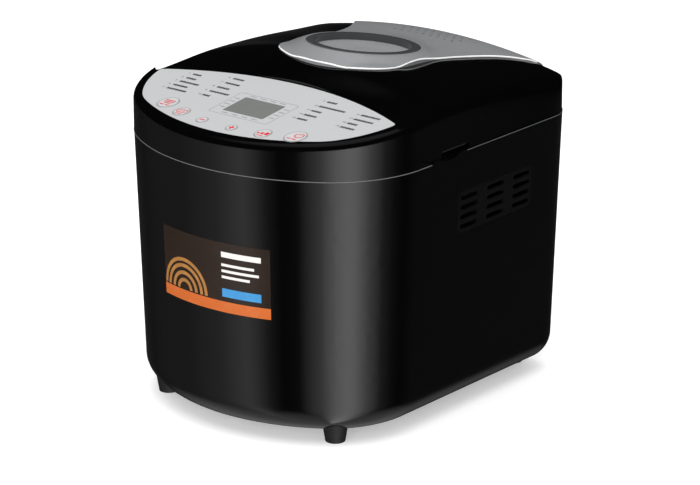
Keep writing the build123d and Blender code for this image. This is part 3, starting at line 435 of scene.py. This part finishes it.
def rounded_box(x, y, half_x, half_y, radius, count=10):
    """Outline of a rectangle with round corners: four quarter circles in turn."""
    quarter = np.linspace(0, np.pi / 2, count)
    turn = (quarter[None] + np.arange(4)[:, None] * np.pi / 2).ravel()
    sx = np.repeat([1, -1, -1, 1], count) * (half_x - radius)
    sy = np.repeat([1, 1, -1, -1], count) * (half_y - radius)
    return np.stack([x + sx + radius * np.cos(turn), y + sy + radius * np.sin(turn)], 1)


def bars(x, y, width, height):
    """Upright rectangles with their middles at (x, y), four points and one face each."""
    x, y, width, height = (np.atleast_1d(np.asarray(v, float)) for v in (x, y, width, height))
    x, y, width, height = np.broadcast_arrays(x, y, width, height)
    corner_x = x[:, None] + width[:, None] / 2 * np.array([-1, 1, 1, -1])
    corner_y = y[:, None] + height[:, None] / 2 * np.array([-1, -1, 1, 1])
    points = np.stack([corner_x.ravel(), corner_y.ravel()], 1)
    return points, np.arange(4 * len(x)).reshape(-1, 4)


def arc_band(x, y, radius, width, start, end, count=40):
    """Part of a ring between two angles in degrees: two arcs round one middle, width apart."""
    turn = np.radians(np.linspace(start, end, count))
    ray_out = np.stack([np.cos(turn), np.sin(turn)], 1)
    arcs = [(x, y) + radius * ray_out, (x, y) + (radius - width) * ray_out]
    return np.concatenate(arcs), grid_faces(2, count)[:, ::-1]


# %% [markdown]
# ## Printing on the panel
# The panel plate is screen-printed: a numbered list of programs in four columns, a thin frame with small
# marks round the display, and a grey ring round each button. Each line of the list is its number and a row of
# short strokes. Silk-screen ink is a dull film. The panel is a tilted plane, so one formula lifts the flat
# print on to it.

# %% Places on the panel
PANEL_Z, PANEL_BACK_Y, PANEL_TILT = 262.6, -33.0, math.radians(7.3)
CENTRE_Y = 7.0
INK_LIFT = 0.04
grey_ink = finish("grey_screen_ink", "77797B", "85878A", (0.5, 0.6), 0.4, IOR=1.5)
black_ink = finish("black_screen_ink", "0A0A0A", "121213", (0.5, 0.6), 0.4, IOR=1.5)


def on_panel(x, y, lift):
    """Plan place (x, y) raised to the tilted panel, then moved by lift along the panel's normal; metres.
    The panel is laid out from a datum that lies CENTRE_Y in front of the frame's origin."""
    x, y = np.broadcast_arrays(np.asarray(x, float), np.asarray(y, float))
    z = PANEL_Z + (y - PANEL_BACK_Y) * math.tan(PANEL_TILT)
    lifted = (x, y - CENTRE_Y - lift * math.sin(PANEL_TILT), z + lift * math.cos(PANEL_TILT))
    return np.stack(lifted, -1).reshape(-1, 3) * MM


def panel_print(name, shapes, ink):
    """Flat shapes in plan millimetres as one film of ink on the panel."""
    points, faces = gather(shapes)
    film(name, on_panel(points[:, 0], points[:, 1], INK_LIFT), faces, ink, "base", "silver_panel")


# %% Program list
STROKE_PITCH, STROKE_WIDE, STROKE_TALL, STROKE_SWING, STROKE_BEAT = 1.25, 0.95, 2.7, 0.5, 2.4
FIGURE_SIZE, FIGURE_X, STROKES_X = 3.3, -2.8, 2.0
# Each column's x, the y of its lines, the lengths of its rows of strokes, and its first number.
LIST_COLUMNS = (
    (-92.0, (-57.0, -65.2, -73.0, -80.8, -88.3), (9, 11, 20, 16, 20), 1),
    (-56.5, (-48.7, -58.4, -68.0, -77.2, -85.9), (12, 15, 13, 21, 8), 6),
    (42.5, (-50.8, -60.6, -70.2, -79.0, -87.4), (11, 27, 10, 13, 10), 11),
    (83.5, (-59.0, -67.8, -76.2, -84.4), (19, 19, 10, 14), 16),
)


def strokes(x, y, length):
    """A row of short upright strokes that starts at x. Stroke k is tall + swing times sin(beat k + length)
    high, so no two rows of different length look alike."""
    step = np.arange(int(length / STROKE_PITCH))
    tall = STROKE_TALL + STROKE_SWING * np.sin(STROKE_BEAT * step + length)
    return bars(x + STROKE_PITCH * (step + 0.5), y, STROKE_WIDE, tall)


def figures(text, x, y, size):
    """Plain figures as flat faces, their left end at (x, y)."""
    curve = bpy.data.curves.new("figures", "FONT")
    curve.body = text
    curve.size = size
    curve.align_y = "CENTER"
    curve.resolution_u = 3
    obj = bpy.data.objects.new("figures", curve)
    scene.collection.objects.link(obj)
    mesh = bpy.data.meshes.new_from_object(obj.evaluated_get(bpy.context.evaluated_depsgraph_get()))
    points = np.empty(len(mesh.vertices) * 3)
    mesh.vertices.foreach_get("co", points)
    faces = [list(p.vertices) for p in mesh.polygons]
    bpy.data.objects.remove(obj)
    bpy.data.curves.remove(curve)
    bpy.data.meshes.remove(mesh)
    return points.reshape(-1, 3)[:, :2] + (x, y), faces


lines = []
for x, heights, lengths, first in LIST_COLUMNS:
    for number, (y, length) in enumerate(zip(heights, lengths), first):
        lines.append(figures(str(number), x + FIGURE_X, y, FIGURE_SIZE))
        lines.append(strokes(x + STROKES_X, y, length))
panel_print("program_list_print", lines, black_ink)
print("printed lines:", len(lines) // 2)

# %% Display frame and button rings
DISPLAY_X, DISPLAY_Y = 1.0, -88.0
FRAME_HALF_X, FRAME_HALF_Y, FRAME_R, FRAME_LINE, FRAME_DROP = 30.3, 20.6, 3.0, 0.45, 0.4
MARK_TALL, ROW_MARK, SIDE_MARK = 1.0, 6.0, 5.5
MARK_ROWS, MARK_SIDES = (17.3, -17.6), (-25.2, 25.6)
MARK_REACH_X, MARK_REACH_Y, MARK_COUNT = 15, 9, 4
frame_outline = rounded_box(DISPLAY_X, DISPLAY_Y - FRAME_DROP, FRAME_HALF_X, FRAME_HALF_Y, FRAME_R)
mark_x = DISPLAY_X + np.linspace(-MARK_REACH_X, MARK_REACH_X, MARK_COUNT)
mark_y = DISPLAY_Y + np.linspace(-MARK_REACH_Y, MARK_REACH_Y, MARK_COUNT)
marks = [bars(mark_x, DISPLAY_Y + row, ROW_MARK, MARK_TALL) for row in MARK_ROWS]
marks += [bars(DISPLAY_X + side, mark_y, SIDE_MARK, MARK_TALL) for side in MARK_SIDES]
panel_print("display_frame_print", [band(frame_outline, FRAME_LINE)] + marks, grey_ink)

# Each button's middle and its two half widths.
BUTTONS = {
    "menu": (-68.0, -111.5, 7.6, 9.0), "crust": (-46.0, -120.5, 5.9, 6.8), "minus": (-20.0, -125.5, 3.8, 4.3),
    "plus": (11.0, -126.5, 3.8, 4.3), "size": (40.5, -123.5, 5.9, 6.8), "start": (67.5, -116.5, 7.9, 9.3),
}
RING_OUT, RING_LINE = 1.2, 0.5
rings = [band(oval(x, y, rx + RING_OUT, ry + RING_OUT), RING_LINE) for x, y, rx, ry in BUTTONS.values()]
panel_print("button_ring_print", rings, grey_ink)
print("rings:", len(rings))

# %% [markdown]
# ## Button signs
# Each button carries a red pad-printed sign: list bars, a loaf with two cuts, minus, plus, three loaf sizes
# and a start ring. They ride on their buttons, so they go down when one is pressed.

# %% Button signs
red_ink = finish("red_pad_ink", "C4242C", "D03038", (0.4, 0.5), 0.4, IOR=1.5)
BUTTON_RISE = 0.3
SIGN_SCALE = 1.15
# Shapes round the middle of each button, before they are scaled.
signs = {
    "menu": [bars(0, (3.2, 1.0, -1.2), (8.5, 8.5, 6.0), 1.1), bars((-2.5, 2.5), -4.2, 3.6, 1.2)],
    "crust": [
        band(rounded_box(0, 0.6, 4.2, 2.6, 1.6), 0.7),
        bars((-1.4, 1.4), 0.6, 0.7, 2.6),
        bars(0, -3.9, 5.0, 0.9),
    ],
    "minus": [bars(0, 0, 4.6, 1.3)],
    "plus": [bars(0, 0, 4.6, 1.3), bars(0, (1.6, -1.6), 1.3, 1.9)],
    "size": [
        bars((-3.4, -0.4, 3.2), (-0.8, -0.3, 0.3), (1.8, 2.4, 3.0), (2.0, 3.0, 4.2)),
        bars(0, -3.9, 5.4, 0.9),
    ],
    "start": [
        arc_band(1.6, 2.0, 3.6, 0.8, 115, 425),
        bars(1.6, 4.4, 0.8, 3.2),
        bars((-2.6, 1.6), -4.2, 3.4, 1.2),
    ],
}
for name, shapes in signs.items():
    x, y = BUTTONS[name][:2]
    points, faces = gather(shapes)
    points = points * SIGN_SCALE
    at = on_panel(points[:, 0] + x, points[:, 1] + y, BUTTON_RISE + INK_LIFT)
    film(name + "_sign", at, faces, red_ink, name, "button_silver")
print("signs:", len(signs))

# %% [markdown]
# ## Joint line
# Where the control housing stands on the lower body, a thin pale line runs round the front from side
# to side in the seam. It is a painted highlight: a pale grey bead that stands in for the light caught by
# the rounded edges of the seam. Its path is found on the lower body itself: rays from outside, one for
# each bearing, meet the wall just under the seam. A small round section is then carried along that path.
# A finer painted highlight of the same kind runs along the top edge of both side walls under the lid,
# from behind the finger notch to the rear.

# %% Joint and lid edge painted highlights
# Pale grey painted highlight, standing in for the light that rounded edges of the black casing catch.
seam_painted_highlight = finish("painted_seam_highlight_grey", "626466", "6C6E70", (0.35, 0.45), 1.0, IOR=1.5)
UP = np.array([0, 0, 1.0])
OUTSIDE = 0.4


def solid_tree(node):
    """The faces of one solid, ready for rays."""
    mesh = frame["nodes"][node].data
    return BVHTree.FromPolygons([v.co for v in mesh.vertices], [list(f.vertices) for f in mesh.polygons])


def bead(path, radius_mm, sides=8):
    """A round section carried along a path: side is up cross ahead, and each ring is radius times
    (cos a side + sin a lift) for a round the circle. Both ends are capped."""
    ahead = np.gradient(path, axis=0)
    ahead /= np.linalg.norm(ahead, axis=1, keepdims=True)
    side = np.cross(UP, ahead)
    side /= np.linalg.norm(side, axis=1, keepdims=True)
    lift = np.cross(ahead, side)
    turn = np.linspace(0, 2 * np.pi, sides, endpoint=False)[None, :, None]
    rings = path[:, None] + radius_mm * MM * (np.cos(turn) * side[:, None] + np.sin(turn) * lift[:, None])
    faces = grid_faces(len(path), sides, True).tolist()
    caps = [list(range(sides))[::-1], list(range(sides * (len(path) - 1), sides * len(path)))]
    return rings.reshape(-1, 3), faces + caps


def wall_path(tree, bearings, z_mm, under_mm):
    """Where rays from OUTSIDE metres away meet the casing under_mm below a height, one for each bearing in
    degrees; the path itself is put at the height."""
    bearings = np.radians(bearings)
    outward = np.stack([np.sin(bearings), -np.cos(bearings), 0 * bearings], 1)
    starts = OUTSIDE * outward + (0, 0, (z_mm - under_mm) * MM)
    path = np.array([tree.ray_cast(Vector(a), Vector(-o))[0] for a, o in zip(starts, outward)])
    path[:, 2] = z_mm * MM
    return path


def run_length(path):
    """Length of a path: the sum of its steps, in metres to the millimetre."""
    return round(float(np.linalg.norm(np.diff(path, axis=0), axis=1).sum()), 3)


SEAM_Z, SEAM_R, SEAM_BEARING, SEAM_STEPS, SEAM_UNDER = 221.35, 0.34, 74.0, 121, 1.0
casing = solid_tree("lower_body")
seam = wall_path(casing, np.linspace(-SEAM_BEARING, SEAM_BEARING, SEAM_STEPS), SEAM_Z, SEAM_UNDER)
film("joint_painted_highlight", *bead(seam, SEAM_R), seam_painted_highlight, "base", "gloss_black_abs", 0)
# The same painted highlight along the top edge of each side wall under the lid.
LIP_Z, LIP_R, LIP_BEARING = 222.9, 0.22, (93.0, 168.0)
for hand, name in ((1, "right_lid_edge_painted_highlight"), (-1, "left_lid_edge_painted_highlight")):
    lip = wall_path(casing, hand * np.linspace(*LIP_BEARING, SEAM_STEPS), LIP_Z, SEAM_UNDER)
    film(name, *bead(lip, LIP_R), seam_painted_highlight, "base", "gloss_black_abs", 0)
print("joint strip runs", run_length(seam), "m and each lip", run_length(lip), "m")

# %% [markdown]
# ## Painted highlight on the lid trim's rim
# The silver trim on the lid ends in a near-white bead, a painted highlight that stands in for the light
# caught by the trim's edge. Its line is where the trim stops, seen from above: on each of many rows from
# front to back, rays fall from above, one after the other from the side inwards, and the first to meet
# the trim gives the edge. Rows are closer together at the front, where the edge turns across the lid. The
# left edge mirrors the right one.

# %% Trim rim painted highlight
# Near-white painted highlight along the edge of the lid trim.
rim_painted_highlight = finish("painted_rim_highlight_white", "F4F4F4", "FAFAFA", (0.2, 0.26), 0.6, IOR=1.5)
RIM_R, RIM_DROP, RIM_ROWS, RIM_STEP, RIM_SMOOTH = 0.8, 1.0, 110, 0.0004, 3
RIM_FRONT_GAP, RIM_SHORT, RAY_TOP = 0.0002, 0.004, 1.0
trim_tree = solid_tree("lid_trim")
(_, trim_front, _), (trim_side, trim_rear, _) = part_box("lid_trim")
trim_run = trim_rear - trim_front - RIM_SHORT
rows = trim_front + RIM_FRONT_GAP + trim_run * np.linspace(0, 1, RIM_ROWS) ** 2
across = np.arange(trim_side + RIM_STEP, 0, -RIM_STEP)


def edge_on_row(y):
    """The outermost place on one row where a falling ray meets the trim."""
    hits = (trim_tree.ray_cast(Vector((x, y, RAY_TOP)), Vector((0, 0, -1)))[0] for x in across)
    return next(hit for hit in hits if hit)


right_edge = np.array([edge_on_row(y) for y in rows])
left_edge = right_edge * (-1, 1, 1)
rim = np.concatenate([right_edge[::-1], left_edge])
near = np.stack([np.roll(rim, shift, 0) for shift in range(-RIM_SMOOTH, RIM_SMOOTH + 1)]).mean(0)
rim[RIM_SMOOTH:-RIM_SMOOTH] = near[RIM_SMOOTH:-RIM_SMOOTH]
rim[:, 2] -= RIM_DROP * MM
film("trim_rim_painted_highlight", *bead(rim, RIM_R), rim_painted_highlight, "lid", "silver_trim", 0)
print("trim rim runs", run_length(rim), "m")

# %% [markdown]
# ## Front sticker
# A glossy paper sticker lies on the bowed front. It is drawn in millimetres along the bow and up, and the
# front wall's formula wraps it: an upright arc whose radius shrinks downwards with the moulding draft. Its
# design is plain bands and rings in warm and dark colours.

# %% Places on the front
BOW_R, BOW_Y, DRAFT, TOP_Z = 168.0, 12.0, math.tan(math.radians(2.0)), 223.5
STICKER_S, STICKER_Z, STICKER_W, STICKER_H = 4.0, 134.2, 111.4, 58.0


def on_front(s, z, lift):
    """s millimetres round the bow from the middle, height z, moved out by lift; metres."""
    s, z = np.broadcast_arrays(np.asarray(s, float), np.asarray(z, float))
    turn = s / BOW_R
    radius = BOW_R - (TOP_Z - z) * DRAFT + lift
    return np.stack([radius * np.sin(turn), BOW_Y - radius * np.cos(turn), z], -1).reshape(-1, 3) * MM


def sheet_grid(x0, x1, y0, y1, columns=25, rows=9):
    """A rectangle as a grid of points, so that it can bend."""
    x, y = np.meshgrid(np.linspace(x0, x1, columns), np.linspace(y0, y1, rows))
    return np.stack([x.ravel(), y.ravel()], 1), grid_faces(rows, columns)


def sticker_film(name, shapes, material, lift):
    """Flat shapes in millimetres from the sticker's middle as one film on the front."""
    points, faces = gather(shapes)
    at = on_front(STICKER_S + points[:, 0], STICKER_Z + points[:, 1], lift)
    return film(name, at, faces, material, "base", "gloss_black_abs")


# %% Sticker
PAPER_LIFT, PRINT_LIFT = 0.10, 0.14
right, top = STICKER_W / 2, STICKER_H / 2
left, foot = -right, -top
BAND_TALL = 9
SUN_X, SUN_Y, SUN_LINE, SUN_RADII = -29, -19, 3.0, (9, 15, 21, 26)
RULE_X, TAB_END, TAB_FOOT, TAB_TOP = 12, 8, 13, 20
# Foot, height and length of each white rule.
RULES = ((17, 4.5, 36), (9.5, 2.2, 30), (4.5, 2.2, 34), (-0.5, 2.2, 26))
# Coated label paper and offset inks under varnish: even colours with a soft gloss.
dark_paper = finish("dark_brown_label_paper", "1C130D", "2E1E12", (0.22, 0.3), 26, IOR=1.5)
amber_ink = finish("amber_label_ink", "8A5A2A", "B07A3C", (0.22, 0.3), 9, IOR=1.5)
orange_ink = finish("orange_label_ink", "B8581C", "C26224", (0.22, 0.3), 12, IOR=1.5)
blue_ink = finish("blue_label_ink", "2F7FB8", "3C8DC4", (0.22, 0.3), 12, IOR=1.5)
white_ink = finish("white_label_ink", "D2D0CC", "DCDAD6", (0.22, 0.3), 6, IOR=1.5)
sticker_film("sticker_paper", [sheet_grid(left, right, foot, top)], dark_paper, PAPER_LIFT)
orange_band = sheet_grid(left, right, foot, foot + BAND_TALL)
sticker_film("sticker_orange_band", [orange_band], orange_ink, PRINT_LIFT)
sun = [arc_band(SUN_X, SUN_Y, radius, SUN_LINE, 0, 180) for radius in SUN_RADII]
sticker_film("sticker_amber_rings", sun, amber_ink, PRINT_LIFT)
blue_tab = sheet_grid(RULE_X, right - TAB_END, foot + TAB_FOOT, foot + TAB_TOP)
sticker_film("sticker_blue_tab", [blue_tab], blue_ink, PRINT_LIFT)
rules = [sheet_grid(RULE_X, RULE_X + length, y, y + tall) for y, tall, length in RULES]
sticker_film("sticker_white_rules", rules, white_ink, PRINT_LIFT)
print("sticker:", STICKER_W, "by", STICKER_H, "mm")
